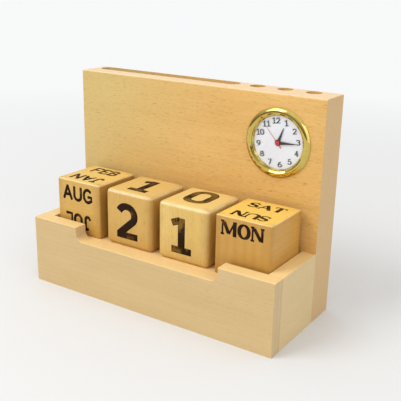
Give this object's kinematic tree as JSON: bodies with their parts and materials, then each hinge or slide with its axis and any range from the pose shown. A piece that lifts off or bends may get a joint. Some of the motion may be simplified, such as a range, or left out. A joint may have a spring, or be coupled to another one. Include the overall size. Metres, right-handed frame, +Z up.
{
  "type": "desk clock with calendar",
  "caption": "Beech desk organiser with a round quartz clock insert, perpetual calendar cubes in a notched tray, a card slot and pen holes.",
  "frame": {"origin": "under the middle of the object, on the desk", "axes": "+X to the viewer's right as one faces the dial, +Y to the back, +Z up"},
  "size_m": [0.16, 0.066, 0.1215],
  "materials": {
    "beech_block": "satin lacquered beech",
    "beech_tray": "satin lacquered beech",
    "dowel_wood": "bare beech",
    "cube_wood": "satin golden lacquered beech",
    "polished_gold": "polished gold tone",
    "clear_lens": "clear polished",
    "case_plastic": "fine matte",
    "ring_plastic": "soft matte",
    "dial_white": "matte white",
    "holder_plastic": "soft matte",
    "plate_brass": "brushed",
    "screw_steel": "brushed",
    "cell_steel": "satin",
    "board_green": "solder mask",
    "can_metal": "satin",
    "coil_copper": "enamelled copper wire",
    "core_iron": "satin",
    "rotor_magnet": "satin",
    "wheel_plastic": "moulded",
    "wheel_brass": "machined",
    "hand_black": "semi-gloss",
    "hand_red": "semi-gloss"
  },
  "bodies": {
    "organiser": {"back_block": "beech_block", "front_board": "beech_tray", "left_side_board": "beech_tray", "right_side_board": "beech_tray", "floor_board": "beech_tray", "joint_dowels": "dowel_wood"},
    "month_cube": {"month_cube": "cube_wood"},
    "tens_cube": {"tens_cube": "cube_wood"},
    "units_cube": {"units_cube": "cube_wood"},
    "weekday_cube": {"weekday_cube": "cube_wood"},
    "clock_insert": {"bezel": "polished_gold", "lens": "clear_lens", "clock_case": "case_plastic", "mounting_ring": "ring_plastic", "dial": "dial_white", "movement_holder": "holder_plastic", "main_plate": "plate_brass", "train_bridge": "plate_brass", "bridge_screws": "screw_steel", "battery": "cell_steel", "battery_clip": "screw_steel", "circuit_board": "board_green", "quartz_crystal": "can_metal", "motor_coil": "coil_copper", "coil_core": "core_iron", "stator": "core_iron"},
    "battery_hatch": {"battery_hatch": "case_plastic"},
    "setting_train": {"minute_wheel": "wheel_plastic", "setting_knob": "case_plastic"},
    "minute_hand": {"cannon_pinion": "wheel_brass", "minute_hand": "hand_black"},
    "hour_hand": {"hour_wheel": "wheel_plastic", "hour_hand": "hand_black"},
    "second_hand": {"seconds_wheel": "wheel_plastic", "second_hand": "hand_red"},
    "fifth_wheel": {"fifth_wheel": "wheel_plastic"},
    "rotor": {"rotor": "rotor_magnet"},
    "third_wheel": {"third_wheel": "wheel_plastic"},
    "centre_wheel": {"centre_wheel": "wheel_brass"}
  },
  "joints": [
    {"name": "month_cube_lift", "type": "slide", "parent": "organiser", "child": "month_cube", "axis": [0, 0, 1], "range_m": [0, 0.095]},
    {"name": "tens_cube_lift", "type": "slide", "parent": "organiser", "child": "tens_cube", "axis": [0, 0, 1], "range_m": [0, 0.095]},
    {"name": "units_cube_lift", "type": "slide", "parent": "organiser", "child": "units_cube", "axis": [0, 0, 1], "range_m": [0, 0.095]},
    {"name": "weekday_cube_lift", "type": "slide", "parent": "organiser", "child": "weekday_cube", "axis": [0, 0, 1], "range_m": [0, 0.012]},
    {"name": "insert_pull", "type": "slide", "parent": "organiser", "child": "clock_insert", "axis": [0, -1, 0], "range_m": [0, 0.012]},
    {"name": "hatch_turn", "type": "hinge", "parent": "clock_insert", "child": "battery_hatch", "pos_m": [0.0542, 0.014, 0.1053], "axis": [0, -1, 0], "range_deg": [0, 60]},
    {"name": "setting_turn", "type": "hinge", "parent": "clock_insert", "child": "setting_train", "pos_m": [0.0542, 0.014, 0.08935], "axis": [0, 1, 0], "continuous": true},
    {"name": "minute_hand_turn", "type": "hinge", "parent": "clock_insert", "child": "minute_hand", "pos_m": [0.0542, 0.014, 0.0961], "axis": [0, 1, 0], "continuous": true},
    {"name": "hour_hand_turn", "type": "hinge", "parent": "clock_insert", "child": "hour_hand", "pos_m": [0.0542, 0.014, 0.0961], "axis": [0, 1, 0], "continuous": true},
    {"name": "second_hand_turn", "type": "hinge", "parent": "clock_insert", "child": "second_hand", "pos_m": [0.0542, 0.014, 0.0961], "axis": [0, 1, 0], "continuous": true},
    {"name": "fifth_wheel_turn", "type": "hinge", "parent": "clock_insert", "child": "fifth_wheel", "pos_m": [0.04838, 0.014, 0.09822], "axis": [0, 1, 0], "continuous": true},
    {"name": "rotor_turn", "type": "hinge", "parent": "clock_insert", "child": "rotor", "pos_m": [0.04719, 0.014, 0.09376], "axis": [0, 1, 0], "continuous": true},
    {"name": "third_wheel_turn", "type": "hinge", "parent": "clock_insert", "child": "third_wheel", "pos_m": [0.06011, 0.014, 0.09768], "axis": [0, 1, 0], "continuous": true},
    {"name": "centre_wheel_turn", "type": "hinge", "parent": "clock_insert", "child": "centre_wheel", "pos_m": [0.0542, 0.014, 0.0961], "axis": [0, 1, 0], "continuous": true}
  ],
  "couplings": [
    {"joint": "minute_hand_turn", "follows": "setting_turn", "ratio": -3},
    {"joint": "hour_hand_turn", "follows": "setting_turn", "ratio": -0.25},
    {"joint": "fifth_wheel_turn", "follows": "second_hand_turn", "ratio": -5},
    {"joint": "rotor_turn", "follows": "second_hand_turn", "ratio": 30},
    {"joint": "third_wheel_turn", "follows": "second_hand_turn", "ratio": -0.13333},
    {"joint": "centre_wheel_turn", "follows": "second_hand_turn", "ratio": 0.016667}
  ]
}
